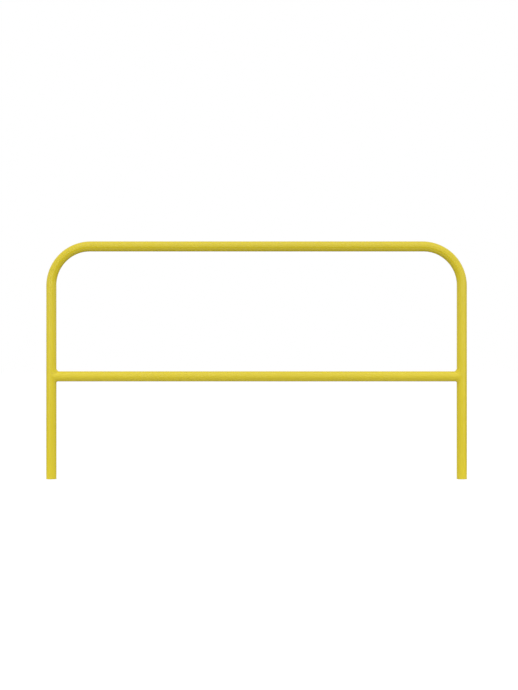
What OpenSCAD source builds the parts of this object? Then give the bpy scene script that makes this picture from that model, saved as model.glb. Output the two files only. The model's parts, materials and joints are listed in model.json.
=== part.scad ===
// Tubular hoop guard: one steel tube bent into an upside-down U, with a straight
// mid rail of the same tube coped to fit and welded between its two legs.
// The origin is midway between the leg ends, level with them.
// +X runs along the rails, +Y through the guard's thickness and +Z up the legs.

/* [Hoop] */
// Width over the outsides of the two legs
overall_w = 2000; // [900:10:3000]
// Height from the leg ends to the top of the hoop
overall_h = 1130; // [800:5:1500]
// Outside diameter of the hoop's tube
hoop_d = 48.3; // [33.7:0.1:60.3]
// Wall thickness of the hoop's tube
hoop_wall = 2.6; // [2:0.1:4.5]
// Radius of the two top bends, to the middle of the tube
bend_r = 185; // [100:5:260]

/* [Mid rail] */
// Outside diameter of the mid rail's tube
rail_d = 48.3; // [26.9:0.1:60.3]
// Wall thickness of the mid rail's tube
rail_wall = 2.6; // [2:0.1:4.5]
// Height of the mid rail's centre line above the leg ends
rail_h = 488; // [120:1:540]
// Distance from a leg's centre line to the blunted tips of the coped rail end
tip_x = 8; // [5:0.5:12]
// Hole in each leg's wall behind the rail's end, so that no tube is a sealed space
vent_d = 12; // [6:1:18]

/* [Welds] */
// Gap between the coped rail end and the leg, which the weld's root fills
root_gap = 0.5; // [0.3:0.1:1]
// Reach of each weld up the leg above the rail
weld_up = 14; // [8:0.5:18]
// Reach of each weld down the leg below the rail
weld_down = 6; // [4:0.5:12]
// Reach of each weld round the leg at the front and back of the rail's end
weld_side = 4; // [3:0.5:5]
// Reach of each weld along the top of the rail
weld_along_top = 11; // [6:0.5:16]
// Reach of each weld along the underside of the rail
weld_along_under = 5; // [4:0.5:12]
// Height of the weld's face over the corner it fills, as a share of a flat face's height
weld_fill = 0.7; // [0.55:0.05:1]
// Least height of the weld's face over the joint
weld_crown = 1.5; // [0.5:0.1:2.5]

/* [Hidden] */

$fn = 96;
paint = [0.86, 0.79, 0.24];

// Radii of the hoop's tube and of the rail
hoop_r = hoop_d / 2;
rail_r = rail_d / 2;
// Distance of each leg's centre line from the middle
leg_x = overall_w / 2 - hoop_r;
// Height at which the legs end and the bends begin
bend_z = overall_h - hoop_r - bend_r;
// Radius that the rail's ends are coped to
cope_r = hoop_r + root_gap;
// How far cutting tools run past the faces that they cut
past = 5;

// The weld's cross-section is repeated at this many places round the rail
weld_stations = 72;
// Straight steps across the weld's face
weld_steps = 6;
// Corners of its cross-section: those of the face, and three buried behind it
weld_corners = weld_steps + 4;
// How deep the weld's edges are buried before the tubes are cut away from it
weld_sink = 0.4;
// The weld has its full reach up or down the leg where the cosine is over this
full_reach_cos = 0.9;
// Angle to each side over which the joint's direction is measured
direction_step = 0.5;

// A bar that follows the hoop's centre line, longer at the leg ends by extra
module hoop_bar(d, extra) {
    for (side = [-1, 1])
        translate([side * leg_x, 0, -extra])
            cylinder(d = d, h = bend_z + extra);
    for (side = [0, 1])
        mirror([side, 0, 0])
            translate([leg_x - bend_r, 0, bend_z])
                rotate([90, 0, 0])
                    rotate_extrude(angle = 90)
                        translate([bend_r, 0])
                            circle(d = d);
    translate([bend_r - leg_x, 0, bend_z + bend_r])
        rotate([0, 90, 0])
            cylinder(d = d, h = 2 * (leg_x - bend_r));
}

module hoop_tube() {
    color(paint)
        difference() {
            hoop_bar(hoop_d, 0);
            hoop_bar(hoop_d - 2 * hoop_wall, past);
            for (side = [0, 1])
                mirror([side, 0, 0])
                    translate([-leg_x, 0, rail_h])
                        rotate([0, 90, 0])
                            cylinder(d = vent_d, h = hoop_r + past);
        }
}

// A bar along the mid rail's centre line, its ends coped to the legs
module coped_bar(d) {
    difference() {
        translate([tip_x - leg_x, 0, rail_h])
            rotate([0, 90, 0])
                cylinder(d = d, h = 2 * (leg_x - tip_x));
        for (side = [-1, 1])
            translate([side * leg_x, 0, rail_h - rail_r - past])
                cylinder(r = cope_r, h = rail_d + 2 * past);
    }
}

module mid_rail() {
    color(paint)
        difference() {
            coped_bar(rail_d);
            translate([-leg_x - past, 0, rail_h])
                rotate([0, 90, 0])
                    cylinder(d = rail_d - 2 * rail_wall, h = 2 * (leg_x + past));
        }
}

// The weld is worked out for a leg along Z and a rail that leaves it along +X.
// The angle a goes round the rail from its top, and t across the weld's face
// from its edge on the leg at 0 to its edge on the rail at 1.
function unit(v) = v / norm(v);
function ease(u) = pow(u, 2) * (3 - 2 * u);

// Reach of the weld on the leg and along the rail at angle a
function leg_reach(a) =
    let (share = ease(min(1, abs(cos(a)) / full_reach_cos)))
        weld_side + ((cos(a) > 0 ? weld_up : weld_down) - weld_side) * share;
function along_reach(a) =
    (weld_along_top + weld_along_under + (weld_along_top - weld_along_under) * cos(a)) / 2;

// Where the coped end of the rail starts, at y from its centre line, and its outer corner
function cope_x(y) = sqrt(max(pow(tip_x, 2), pow(cope_r, 2) - pow(y, 2)));
function rail_corner(a) = [cope_x(rail_r * sin(a)), rail_r * sin(a), rail_r * cos(a)];

// Directions straight out of the rail and out of the leg at that corner
function rail_out(a) = [0, sin(a), cos(a)];
function leg_out(a) = unit([rail_corner(a).x, rail_corner(a).y, 0]);

// Direction along the joint, and from there along the rail away from the leg
function along(a) = unit(rail_corner(a + direction_step) - rail_corner(a - direction_step));
function rail_ward(a) = cross(along(a), rail_out(a));

// A point moved straight in or out until it is r from the leg's axis
function onto_leg(p, r) = [r * p.x / norm([p.x, p.y]), r * p.y / norm([p.x, p.y]), p.z];

// Edges of the weld on the leg and on the rail, sunk by depth
function leg_edge(a, depth) =
    onto_leg(rail_corner(a) + leg_reach(a) * cross(leg_out(a), along(a)), hoop_r - depth);
function rail_edge(a, depth) = rail_corner(a) + [along_reach(a), 0, 0] - depth * rail_out(a);

// Middle of the weld's face: hollow where it fills a corner and crowned where the tubes are flush
function face_out(a) = unit(rail_out(a) + leg_out(a));
function flat_middle(a) = (leg_edge(a, weld_sink) + rail_edge(a, weld_sink)) / 2;
function flat_height(a) = (flat_middle(a) - rail_corner(a)) * face_out(a);
function face_height(a) = max(weld_crown, weld_fill * flat_height(a));
function face_middle(a) = flat_middle(a) + face_out(a) * (face_height(a) - flat_height(a));

// A parabola from edge to edge of the face, through its middle
function face_point(a, t) =
    pow(1 - t, 2) * leg_edge(a, weld_sink) + pow(t, 2) * rail_edge(a, weld_sink)
    + 2 * t * (1 - t) * (2 * face_middle(a) - flat_middle(a));

// Root of the weld, in the gap at the rail's end
function root(a) = rail_corner(a) - (rail_wall * rail_out(a) + root_gap * rail_ward(a)) / 2;

function weld_section(a) = concat(
    [for (i = [0 : weld_steps]) face_point(a, i / weld_steps)],
    [rail_edge(a, rail_wall / 2), root(a), leg_edge(a, hoop_wall / 2)]
);

module rail_weld() {
    points = [for (s = [0 : weld_stations - 1]) each weld_section(360 * s / weld_stations)];
    faces = [
        for (s = [0 : weld_stations - 1])
            for (c = [0 : weld_corners - 1])
                let (
                    here = s * weld_corners,
                    next = ((s + 1) % weld_stations) * weld_corners,
                    after = (c + 1) % weld_corners
                )
                    each [[here + c, next + after, here + after], [here + c, next + c, next + after]]
    ];
    color(paint)
        difference() {
            translate([-leg_x, 0, rail_h])
                polyhedron(points, faces);
            translate([-leg_x, 0, 0])
                cylinder(d = hoop_d, h = rail_h + rail_d + weld_up);
            coped_bar(rail_d);
        }
}

module left_rail_weld() {
    rail_weld();
}

module right_rail_weld() {
    mirror([1, 0, 0])
        rail_weld();
}

hoop_tube();
mid_rail();
left_rail_weld();
right_rail_weld();
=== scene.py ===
import json
import math

import bpy
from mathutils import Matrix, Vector


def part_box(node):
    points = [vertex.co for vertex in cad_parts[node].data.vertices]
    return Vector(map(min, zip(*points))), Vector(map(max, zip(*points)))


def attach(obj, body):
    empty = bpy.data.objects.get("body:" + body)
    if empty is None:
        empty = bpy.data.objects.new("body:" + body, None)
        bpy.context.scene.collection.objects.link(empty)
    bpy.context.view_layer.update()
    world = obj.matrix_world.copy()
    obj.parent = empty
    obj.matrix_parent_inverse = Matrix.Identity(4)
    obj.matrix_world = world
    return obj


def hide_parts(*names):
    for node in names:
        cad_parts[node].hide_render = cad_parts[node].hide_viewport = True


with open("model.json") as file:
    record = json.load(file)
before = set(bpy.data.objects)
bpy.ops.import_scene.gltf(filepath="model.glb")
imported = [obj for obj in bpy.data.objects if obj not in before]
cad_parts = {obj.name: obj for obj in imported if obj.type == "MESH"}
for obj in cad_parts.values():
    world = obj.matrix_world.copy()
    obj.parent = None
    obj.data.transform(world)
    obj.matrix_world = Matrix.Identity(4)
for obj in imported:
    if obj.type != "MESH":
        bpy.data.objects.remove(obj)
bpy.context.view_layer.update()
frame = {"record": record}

# The guard's own sizes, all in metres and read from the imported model
MOUNTS = {mount["name"]: mount for mount in frame["record"]["mounts"]}
LEG_BORE = MOUNTS["right_leg_bore"]
_, HOOP_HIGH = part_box("hoop_tube")
RAIL_LOW, RAIL_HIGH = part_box("mid_rail")

LEG_X = LEG_BORE["pos_m"][0]
HOOP_R = HOOP_HIGH[0] - LEG_X
BORE_R = LEG_BORE["dims"]["r_mm"] / 1000
WALL = HOOP_R - BORE_R
BEND_Z = LEG_BORE["dims"]["length_mm"] / 1000
TOP_Z = HOOP_HIGH[2] - HOOP_R
BEND_R = TOP_Z - BEND_Z
RAIL_Z = (RAIL_LOW[2] + RAIL_HIGH[2]) / 2
RAIL_R = (RAIL_HIGH[2] - RAIL_LOW[2]) / 2

# How finely the tubes are meshed. A ring END_STEP from each end keeps the ends' shading off the long faces.
SIDES = 96
STRAIGHT_STEP = 0.08
BEND_STEPS = 48
END_STEP = 0.0008

# The rounded rim of a leg's cut end: its radius, and where its rings lie round it, in degrees
EDGE_ROUND = 0.0007
EDGE_TURNS = (30, 60, 90)

# A bend is narrower in its own plane by this share, and the ease brings it on early in the bend
BEND_FLATTENING = 0.03
FLATTENING_EASE = 1.6

# The rail's coped ends: their gap to the leg, their radius, and the distance of their blunt tips from LEG_X
ROOT_GAP = 0.0005
COPE_R = HOOP_R + ROOT_GAP
TIP_X = LEG_X - RAIL_HIGH[0]

# How far a weld reaches on the leg above, below and beside the rail, and along the rail's top and underside
WELD_UP = 0.014
WELD_DOWN = 0.006
WELD_SIDE = 0.004
WELD_ALONG_TOP = 0.011
WELD_ALONG_UNDER = 0.005
# The reach on the leg is full where the angle from straight up or down has this cosine or more
FULL_REACH_COS = 0.9
# Both reaches vary by this share
REACH_WANDER = 0.07

# A weld's toes are sunk in the tubes, and its back lies hidden in their walls and in the root gap
WELD_SINK = 0.0005
TOE_DEPTH = WALL / 3
BACK_DEPTH = WALL / 2

# Height of a weld's face over the tubes' corner: a share of a flat face's, or at least the crown
WELD_FILL = 0.7
WELD_CROWN = 0.0003
# What is added to it above and below the rail, beside the rail, and between those
BEAD_TOP = 0.0002
BEAD_SIDE = 0.0004
BEAD_ARMS = 0.001
# Beside the rail, the face's middle moves towards the leg by this share of its width
WELD_SKEW = 0.2
# The face runs out along the rail over this share of its reach, held this little above the rail's surface
RAIL_BLEND = 0.5
BLEND_PROUD = 0.0002

# Ripples across the bead: pitch, height, and the share of it that they have above, below and beside the rail
RIPPLE_PITCH = 0.0095
RIPPLE_HEIGHT = 0.0009
RIPPLE_LEAST = 0.5
# How far they bow in the middle of the face, and wander, in shares of their pitch
RIPPLE_BOW = 0.55
RIPPLE_WANDER = 0.12
# The highest of the lumps along the bead
LUMP_HEIGHT = 0.0002

# How finely a weld is meshed, along it and across its face, and how finely its length is measured
WELD_STATIONS = 540
WELD_STEPS = 22
LENGTH_STEPS = 8 * WELD_STATIONS
# The joint's direction at a point is taken this far to each side of it
TANGENT_NUDGE = math.radians(1.5)

# The wandering of a weld: how many of each wave go round the joint, and its share. The weld's seed and the
# shift set where each wave starts.
WANDER_WAVES = ((5, 0.45), (9, 0.35), (14, 0.20))
WANDER_SHIFT = 1.7
# Added to the seed, so that these wander apart from the reach on the leg and from each other
ALONG_SEED = 5
RIPPLE_SEED = 3
LUMP_SEED = 1

# Each weld: the side it is on, and the seed of its wandering
WELDS = {"left": (-1, 0.4), "right": (1, 2.1)}

# Colours, linear
WHITE = (1, 1, 1)
YELLOW = (0.785, 0.634, 0.020)
YELLOW_DEEP = (0.770, 0.620, 0.018)
ZINC = (0.46, 0.47, 0.48)
ZINC_DARK = (0.322, 0.329, 0.336)

# The middle part of a noise, which is stretched to its whole range
NOISE_MIDDLE = (0.3, 0.7)
DRIFT_MIDDLE = (0.35, 0.65)

# The coating: scales of its noises per metre, and depths of its bumps in metres
DRIFT_SCALE = 2.3
SHEEN_SCALE = 38
PEEL_SCALE = 260
PEEL_DEPTH = 0.0002
DUST_SCALE = 1500
DUST_DEPTH = 0.00005
DUST_STRENGTH = 0.05
COATING_IOR = 1.5
# Strength of the orange peel, and the range of the roughness
TUBE_FINISH = (0.06, (0.24, 0.27))
WELD_FINISH = (0.10, (0.15, 0.21))

# The bore's zinc
SPANGLE_SCALE = 160
ZINC_METALLIC = 0.75
ZINC_SHEEN_SCALE = 70
ZINC_ROUGHNESS = (0.42, 0.6)
ZINC_GRAIN_SCALE = 500
ZINC_GRAIN_DEPTH = 0.0004
ZINC_GRAIN_STRENGTH = 0.3
# The bore's overspray is full below the first height and gone above the second. The ragged part, times a
# noise, is added to each point's height.
SPRAY_HEIGHTS = (0.030, 0.055)
SPRAY_RAGGED = 0.03
SPRAY_SCALE = 90

# The camera looks level along +Y. FRAME_HEIGHT is what it sees at the guard.
CAMERA_DISTANCE = 8.0
FRAME_HEIGHT = 3.281
CAMERA_X = 0.0115
CAMERA_Z = 0.637
SENSOR = 36.0
CLIP_END = 100.0

# Each soft light: place, the point it faces, width, height and power
SOFT_LIGHTS = {
    "key": ((0.0, -4.8, 8.0), (0, 0, 0.6), 9.0, 4.5, 130.0),
    "front": ((0.0, -9.0, 1.8), (0, 0, 0.6), 6.0, 3.0, 53.0),
    "left": ((-1.8, -0.9, 0.6), (-0.97, 0, 0.6), 0.5, 1.4, 3.3),
    "right": ((1.8, -0.9, 0.6), (0.97, 0, 0.6), 0.5, 1.4, 3.1),
    "under": ((0.0, 0.0, 0.0005), (0, 0, 1), 2.6, 0.5, 1.7),
    "under_front": ((0.0, -0.7, 0.0005), (0, -0.7, 1), 2.6, 0.5, 3.7),
}
ROOM_LIGHT = 0.84

# The floor: half its side, its greys as the guard and the camera get them, and its glow to the camera
FLOOR_HALF = 30.0
FLOOR_BOUNCE = 0.2
FLOOR_SEEN = 0.3
FLOOR_GLOW = 0.77


# Meshes


def add_object(name, vertices, faces, smooth=True):
    mesh = bpy.data.meshes.new(name)
    mesh.from_pydata(vertices, [], faces)
    mesh.validate()
    mesh.polygons.foreach_set("use_smooth", [smooth] * len(mesh.polygons))
    mesh.update()
    piece = bpy.data.objects.new(name, mesh)
    bpy.context.scene.collection.objects.link(piece)
    return piece


def ring_grid(rings):
    """Vertices and faces of a closed surface: closed rings joined in a closed loop."""
    count, around = len(rings), len(rings[0])
    vertices = [point for ring in rings for point in ring]
    faces = []
    for r in range(count):
        for a in range(around):
            here, beyond = r * around, ((r + 1) % count) * around
            after = (a + 1) % around
            faces.append((here + a, here + after, beyond + after, beyond + a))
    return vertices, faces


def steps_between(start, end, step):
    """Even steps from start to end, each about as long as step."""
    count = max(1, round(abs(end - start) / step))
    return [start + (end - start) * i / count for i in range(count + 1)]


# The hoop


def tube_ring(centre, inward, radius, squeeze=0.0):
    """A ring round the hoop's path, narrower in the hoop's plane by squeeze."""
    across = Vector((0, 1, 0))
    ring = []
    for i in range(SIDES):
        angle = 2 * math.pi * i / SIDES
        in_plane = radius * (1 - squeeze) * math.cos(angle)
        ring.append(centre + inward * in_plane + across * radius * math.sin(angle))
    return ring


def bend_path(side):
    """Points round one bend, past its start: the left bend ends at the top rail, the right one at its leg."""
    centre = Vector((side * (LEG_X - BEND_R), 0, BEND_Z))
    start = math.pi if side < 0 else math.pi / 2
    path = []
    for i in range(1, BEND_STEPS + 1):
        turn = math.pi / 2 * i / BEND_STEPS
        angle = start - turn
        outward = Vector((math.cos(angle), 0, math.sin(angle)))
        onward = Vector((math.sin(angle), 0, -math.cos(angle)))
        squeeze = BEND_FLATTENING * min(1, FLATTENING_EASE * math.sin(2 * turn))
        path.append((centre + BEND_R * outward, onward, -outward, squeeze))
    return path


def hoop_path():
    """Points along the hoop from the left leg end to the right one.

    Each is (place, direction of the path, direction to the inside of the bends, squeeze).
    """
    up, right = Vector((0, 0, 1)), Vector((1, 0, 0))
    heights = steps_between(0, BEND_Z, STRAIGHT_STEP)
    heights.insert(1, EDGE_ROUND + END_STEP)
    half_top = LEG_X - BEND_R
    path = [(Vector((-LEG_X, 0, z)), up, right, 0.0) for z in heights]
    path += bend_path(-1)
    for x in steps_between(-half_top, half_top, STRAIGHT_STEP)[1:]:
        path.append((Vector((x, 0, TOP_Z)), right, -up, 0.0))
    path += bend_path(1)
    path += [(Vector((LEG_X, 0, z)), -up, -right, 0.0) for z in heights[-2::-1]]
    return path


def lip_rings(end, onward, inward):
    """The rounded rim of a cut tube end, from the outside to the bore."""
    rings = []
    for radius, sign, turns in ((HOOP_R, 1, EDGE_TURNS), (BORE_R, -1, EDGE_TURNS[::-1])):
        for degrees in turns:
            turn = math.radians(degrees)
            ring_r = radius - sign * EDGE_ROUND * (1 - math.cos(turn))
            back = EDGE_ROUND * (1 - math.sin(turn))
            rings.append(tube_ring(end - onward * back, inward, ring_r))
    return rings


def hoop_mesh():
    """The hoop as one closed surface: its outside, right rim, bore and left rim."""
    path = hoop_path()
    first, last = path[0], path[-1]
    path[0] = (first[0] + first[1] * EDGE_ROUND, *first[1:])
    path[-1] = (last[0] - last[1] * EDGE_ROUND, *last[1:])
    outside = [tube_ring(place, inward, HOOP_R, squeeze) for place, _, inward, squeeze in path]
    bore = [tube_ring(place, inward, BORE_R, squeeze) for place, _, inward, squeeze in reversed(path)]
    left_lip = lip_rings(first[0], -first[1], first[2])
    right_lip = lip_rings(last[0], last[1], last[2])
    return ring_grid(outside + right_lip + bore + left_lip[::-1])


# The mid rail


def cope_x(y):
    """How far from the leg's middle line the coped end lies at this depth."""
    return math.sqrt(max(TIP_X**2, COPE_R**2 - y * y))


def rail_ring(side, radius, inset):
    """A ring of the coped end on one side, moved in along the rail by inset."""
    ring = []
    for i in range(SIDES):
        angle = 2 * math.pi * i / SIDES
        y, z = radius * math.sin(angle), radius * math.cos(angle)
        ring.append(Vector((side * (LEG_X - cope_x(y) - inset), y, RAIL_Z + z)))
    return ring


def rail_mesh():
    """The rail as one closed surface: its outside from right to left, then its bore back again."""
    rings = []
    reach = LEG_X - 2 * COPE_R
    for radius, direction in ((RAIL_R, 1), (RAIL_R - WALL, -1)):
        left = [rail_ring(-1, radius, inset) for inset in (0, END_STEP)]
        right = [rail_ring(1, radius, inset) for inset in (END_STEP, 0)]
        middle = []
        for x in steps_between(-reach, reach, STRAIGHT_STEP):
            middle.append([Vector((x, point.y, point.z)) for point in left[0]])
        rings += (left + middle + right)[::-direction]
    return ring_grid(rings)


# The welds. Each is worked out for a leg along Z and a rail that leaves it along +X, and the angle goes
# round the rail from its top.


def rail_corner(angle):
    """Where the rail's outside meets its coped end."""
    y = RAIL_R * math.sin(angle)
    return Vector((cope_x(y), y, RAIL_R * math.cos(angle)))


def wander(angle, seed):
    """A smooth uneven wave round the joint, between -1 and 1."""
    total = 0
    for count, share in WANDER_WAVES:
        total += share * math.sin(count * angle + seed * (WANDER_SHIFT + count))
    return total


def leg_reach(angle, seed):
    """How far the weld reaches on the leg, from the corner."""
    upward = math.cos(angle)
    share = min(1, abs(upward) / FULL_REACH_COS)
    widest = WELD_UP if upward > 0 else WELD_DOWN
    reach = WELD_SIDE + (widest - WELD_SIDE) * share * share * (3 - 2 * share)
    return reach * (1 + REACH_WANDER * wander(angle, seed))


def along_reach(angle, seed):
    """How far the weld reaches along the rail, from the corner."""
    middle = (WELD_ALONG_TOP + WELD_ALONG_UNDER) / 2
    half = (WELD_ALONG_TOP - WELD_ALONG_UNDER) / 2
    return (middle + half * math.cos(angle)) * (1 + REACH_WANDER * wander(angle, seed + ALONG_SEED))


def onto_leg(point, radius):
    """The point moved straight out from the leg's middle line, or in, to this radius."""
    out = Vector((point.x, point.y, 0)).normalized()
    return Vector((radius * out.x, radius * out.y, point.z))


def bead_lift(angle, ripple, swell, arm, seed):
    """Height that the ripples and lumps add to the bead's face."""
    bow = RIPPLE_BOW * swell + RIPPLE_WANDER * wander(angle, seed + RIPPLE_SEED)
    scallop = abs(math.sin(math.pi * (ripple + bow)))
    lump = 0.5 + 0.5 * wander(angle, seed + LUMP_SEED)
    height = RIPPLE_HEIGHT * (RIPPLE_LEAST + (1 - RIPPLE_LEAST) * arm)
    return (height * (scallop - 0.5) + LUMP_HEIGHT * lump) * math.sqrt(swell)


def weld_ring(angle, ripple, seed):
    """One cross-section of the bead: its face from the leg to the rail, and its back inside the walls."""
    corner = rail_corner(angle)
    along = (rail_corner(angle + TANGENT_NUDGE) - rail_corner(angle - TANGENT_NUDGE)).normalized()
    rail_out = Vector((0, math.sin(angle), math.cos(angle)))
    leg_out = Vector((corner.x, corner.y, 0)).normalized()
    face_out = (rail_out + leg_out).normalized()
    rail_ward = along.cross(rail_out)
    leg_edge = onto_leg(corner + leg_reach(angle, seed) * leg_out.cross(along), HOOP_R - WELD_SINK)
    rail_edge = corner + Vector((along_reach(angle, seed), 0, 0)) - WELD_SINK * rail_out

    side = math.sin(angle) ** 2
    arm = math.sin(2 * angle) ** 2
    flat = leg_edge.lerp(rail_edge, 0.5 - WELD_SKEW * side)
    flat_height = (flat - corner).dot(face_out)
    bead = BEAD_TOP + (BEAD_SIDE - BEAD_TOP) * side + BEAD_ARMS * arm
    middle = flat + face_out * (max(WELD_CROWN, WELD_FILL * flat_height) + bead - flat_height)

    # The face is a Bezier curve between the edges. leg_hold is set so that it passes through the middle.
    rail_hold = rail_edge + rail_out * (WELD_SINK + BLEND_PROUD)
    rail_hold.x -= RAIL_BLEND * along_reach(angle, seed)
    leg_hold = (8 * middle - leg_edge - rail_edge - 3 * rail_hold) / 3
    ring = []
    for i in range(WELD_STEPS + 1):
        t = i / WELD_STEPS
        u = 1 - t
        point = u**3 * leg_edge + 3 * u * u * t * leg_hold + 3 * u * t * t * rail_hold + t**3 * rail_edge
        ring.append(point + face_out * bead_lift(angle, ripple, 4 * t * u, arm, seed))

    ring.append(rail_edge - rail_out * TOE_DEPTH)
    ring.append(corner - rail_out * BACK_DEPTH - rail_ward * ROOT_GAP / 2)
    ring.append(leg_edge - leg_out * TOE_DEPTH)
    return ring


def weld_rings(seed):
    """Cross-sections of the bead, evenly spaced along the joint."""
    angles = [2 * math.pi * i / LENGTH_STEPS for i in range(LENGTH_STEPS + 1)]
    lengths = [0.0]
    for start, end in zip(angles, angles[1:]):
        lengths.append(lengths[-1] + (rail_corner(end) - rail_corner(start)).length)
    ripples = round(lengths[-1] / RIPPLE_PITCH)
    rings, before = [], 0
    for s in range(WELD_STATIONS):
        target = lengths[-1] * s / WELD_STATIONS
        while lengths[before + 1] < target:
            before += 1
        part = (target - lengths[before]) / (lengths[before + 1] - lengths[before])
        angle = angles[before] + part * (angles[before + 1] - angles[before])
        rings.append(weld_ring(angle, ripples * s / WELD_STATIONS, seed))
    return rings


def weld_mesh(side, seed):
    """The bead in its place. The right one is mirrored, so its rings are reversed to face outwards."""
    rings = []
    for ring in weld_rings(seed):
        rings.append([Vector((side * (LEG_X - p.x), p.y, RAIL_Z + p.z)) for p in ring])
    if side > 0:
        rings.reverse()
    return ring_grid(rings)


# Materials


class Nodes:
    """Short calls for building one material's nodes."""

    def __init__(self, name):
        self.material = bpy.data.materials.new(name)
        self.material.use_nodes = True
        self.tree = self.material.node_tree
        self.shader = self.tree.nodes["Principled BSDF"]
        self.coordinates = self.add("ShaderNodeTexCoord").outputs["Object"]

    def add(self, kind):
        return self.tree.nodes.new(kind)

    def link(self, source, socket):
        self.tree.links.new(source, socket)

    def noise(self, scale, detail):
        node = self.add("ShaderNodeTexNoise")
        node.inputs["Scale"].default_value = scale
        node.inputs["Detail"].default_value = detail
        self.link(self.coordinates, node.inputs["Vector"])
        return node.outputs["Fac"]

    def remap(self, value, source, target):
        """The value taken from the source range to the target range, and held inside it."""
        node = self.add("ShaderNodeMapRange")
        for socket, number in zip(("From Min", "From Max", "To Min", "To Max"), source + target):
            node.inputs[socket].default_value = number
        self.link(value, node.inputs["Value"])
        return node.outputs["Result"]

    def mix(self, factor, first, second):
        """A mix of two colours, where each is a tuple or a socket."""
        node = self.add("ShaderNodeMix")
        node.data_type = "RGBA"
        self.link(factor, node.inputs["Factor"])
        for socket, colour in (("A", first), ("B", second)):
            target = next(i for i in node.inputs if i.name == socket and i.type == "RGBA")
            if isinstance(colour, tuple):
                target.default_value = (*colour, 1)
            else:
                self.link(colour, target)
        return next(o for o in node.outputs if o.type == "RGBA")

    def bump(self, height, strength, distance, under=None):
        """Normals bumped by the height, on top of the normals under it."""
        node = self.add("ShaderNodeBump")
        node.inputs["Strength"].default_value = strength
        node.inputs["Distance"].default_value = distance
        self.link(height, node.inputs["Height"])
        if under is not None:
            self.link(under, node.inputs["Normal"])
        return node.outputs["Normal"]


def yellow_coating(name, peel, roughness):
    """Glossy yellow coating: slow colour drift, orange peel and fine dust in the film."""
    n = Nodes(name)
    drift = n.remap(n.noise(DRIFT_SCALE, detail=3), DRIFT_MIDDLE, (0, 1))
    n.link(n.mix(drift, YELLOW, YELLOW_DEEP), n.shader.inputs["Base Color"])
    sheen = n.remap(n.noise(SHEEN_SCALE, detail=4), NOISE_MIDDLE, roughness)
    n.link(sheen, n.shader.inputs["Roughness"])
    orange_peel = n.bump(n.noise(PEEL_SCALE, detail=2), peel, PEEL_DEPTH)
    dust = n.bump(n.noise(DUST_SCALE, detail=2), DUST_STRENGTH, DUST_DEPTH, orange_peel)
    n.link(dust, n.shader.inputs["Normal"])
    n.shader.inputs["IOR"].default_value = COATING_IOR
    return n.material


def zinc_bore(name):
    """Galvanised inside of a leg, with the coating's overspray fading up from the open end."""
    n = Nodes(name)
    spangle = n.add("ShaderNodeTexVoronoi")
    spangle.inputs["Scale"].default_value = SPANGLE_SCALE
    n.link(n.coordinates, spangle.inputs["Vector"])
    zinc = n.mix(spangle.outputs["Distance"], ZINC, ZINC_DARK)
    point = n.add("ShaderNodeSeparateXYZ")
    n.link(n.coordinates, point.inputs["Vector"])
    ragged = n.add("ShaderNodeMath")
    ragged.operation = "MULTIPLY_ADD"
    ragged.inputs[1].default_value = SPRAY_RAGGED
    n.link(n.noise(SPRAY_SCALE, detail=3), ragged.inputs[0])
    n.link(point.outputs["Z"], ragged.inputs[2])
    spray = n.remap(ragged.outputs["Value"], SPRAY_HEIGHTS, (1, 0))
    n.link(n.mix(spray, zinc, YELLOW_DEEP), n.shader.inputs["Base Color"])
    n.link(n.remap(spray, (0, 1), (ZINC_METALLIC, 0)), n.shader.inputs["Metallic"])
    sheen = n.remap(n.noise(ZINC_SHEEN_SCALE, detail=3), NOISE_MIDDLE, ZINC_ROUGHNESS)
    n.link(sheen, n.shader.inputs["Roughness"])
    grain = n.bump(n.noise(ZINC_GRAIN_SCALE, detail=3), ZINC_GRAIN_STRENGTH, ZINC_GRAIN_DEPTH)
    n.link(grain, n.shader.inputs["Normal"])
    return n.material


# Pieces


def set_piece(piece, node, slot, *materials):
    """Gives the piece its materials and its body, and hides the CAD node it stands for. The slot is not used.
    """
    for material in materials:
        piece.data.materials.append(material)
    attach(piece, "root")
    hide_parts(node)


def paint_bore(hoop, bore_slot):
    """Gives the bore's faces their own material. hoop_mesh puts the bore's rings after the right lip's."""
    along = len(hoop_path())
    bore_start = along + 2 * len(EDGE_TURNS)
    for index, face in enumerate(hoop.data.polygons):
        ring = index // SIDES
        face.material_index = bore_slot if bore_start <= ring < bore_start + along - 1 else 0


def add_tubes():
    coating = yellow_coating("yellow_tube_coating", *TUBE_FINISH)
    hoop = add_object("hoop_tube_coated", *hoop_mesh())
    set_piece(hoop, "hoop_tube", "painted_tube", coating, zinc_bore("zinc_bore"))
    paint_bore(hoop, 1)
    rail = add_object("mid_rail_coated", *rail_mesh())
    set_piece(rail, "mid_rail", "painted_tube", coating)


def add_welds():
    coating = yellow_coating("yellow_weld_coating", *WELD_FINISH)
    for name, (side, seed) in WELDS.items():
        bead = add_object(f"{name}_weld_bead", *weld_mesh(side, seed))
        set_piece(bead, f"{name}_rail_weld", "painted_weld", coating)


# Studio


def aim(item, target):
    item.rotation_euler = (Vector(target) - item.location).to_track_quat("-Z", "Y").to_euler()


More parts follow.
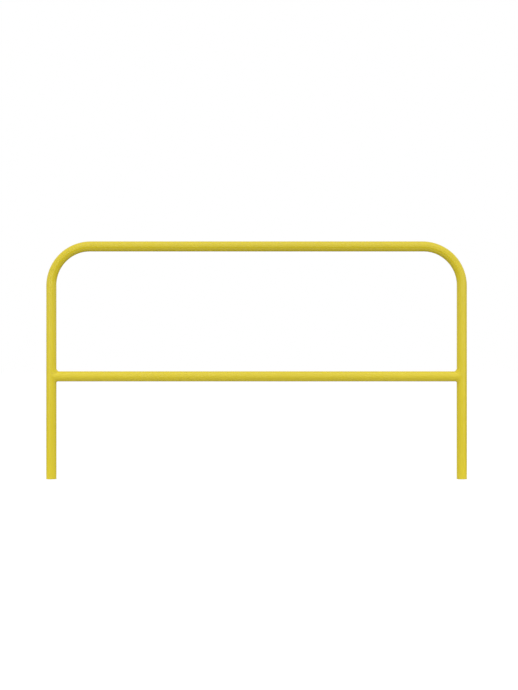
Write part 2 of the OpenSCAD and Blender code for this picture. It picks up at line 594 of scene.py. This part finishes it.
def add_lights():
    for name, (spot, target, width, height, power) in SOFT_LIGHTS.items():
        light = bpy.data.lights.new(name, "AREA")
        light.shape = "RECTANGLE"
        light.size = width
        light.size_y = height
        light.energy = power
        item = bpy.data.objects.new(name, light)
        bpy.context.scene.collection.objects.link(item)
        item.location = spot
        item.visible_camera = False
        aim(item, target)


def add_world():
    """A soft room of even light, seen as plain white."""
    world = bpy.data.worlds.new("studio")
    world.use_nodes = True
    bpy.context.scene.world = world
    tree = world.node_tree
    room = tree.nodes["Background"]
    room.inputs["Color"].default_value = (*WHITE, 1)
    seen = tree.nodes.new("ShaderNodeLightPath")
    level = tree.nodes.new("ShaderNodeMapRange")
    level.inputs["To Min"].default_value = ROOM_LIGHT
    tree.links.new(seen.outputs["Is Camera Ray"], level.inputs["Value"])
    tree.links.new(level.outputs["Result"], room.inputs["Strength"])


def add_floor():
    """A pale floor, which looks white and gives a dimmer light back."""
    corners = [(x * FLOOR_HALF, y * FLOOR_HALF, 0) for x, y in ((-1, -1), (1, -1), (1, 1), (-1, 1))]
    floor = add_object("floor", corners, [(0, 1, 2, 3)], smooth=False)
    n = Nodes("floor_white")
    seen = n.add("ShaderNodeLightPath").outputs["Is Camera Ray"]
    n.link(n.mix(seen, (FLOOR_BOUNCE,) * 3, (FLOOR_SEEN,) * 3), n.shader.inputs["Base Color"])
    n.link(n.remap(seen, (0, 1), (0, FLOOR_GLOW)), n.shader.inputs["Emission Strength"])
    n.shader.inputs["Emission Color"].default_value = (*WHITE, 1)
    n.shader.inputs["Roughness"].default_value = 1.0
    n.shader.inputs["Specular IOR Level"].default_value = 0
    floor.data.materials.append(n.material)


def add_camera():
    camera = bpy.data.cameras.new("camera")
    camera.sensor_width = SENSOR
    camera.lens = SENSOR * CAMERA_DISTANCE / FRAME_HEIGHT
    camera.clip_end = CLIP_END
    item = bpy.data.objects.new("camera", camera)
    bpy.context.scene.collection.objects.link(item)
    item.location = (CAMERA_X, -CAMERA_DISTANCE, CAMERA_Z)
    item.rotation_euler = (math.pi / 2, 0, 0)
    bpy.context.scene.camera = item


add_camera()
add_tubes()
add_welds()
add_floor()
add_world()
add_lights()
bpy.context.scene.view_settings.view_transform = "Standard"
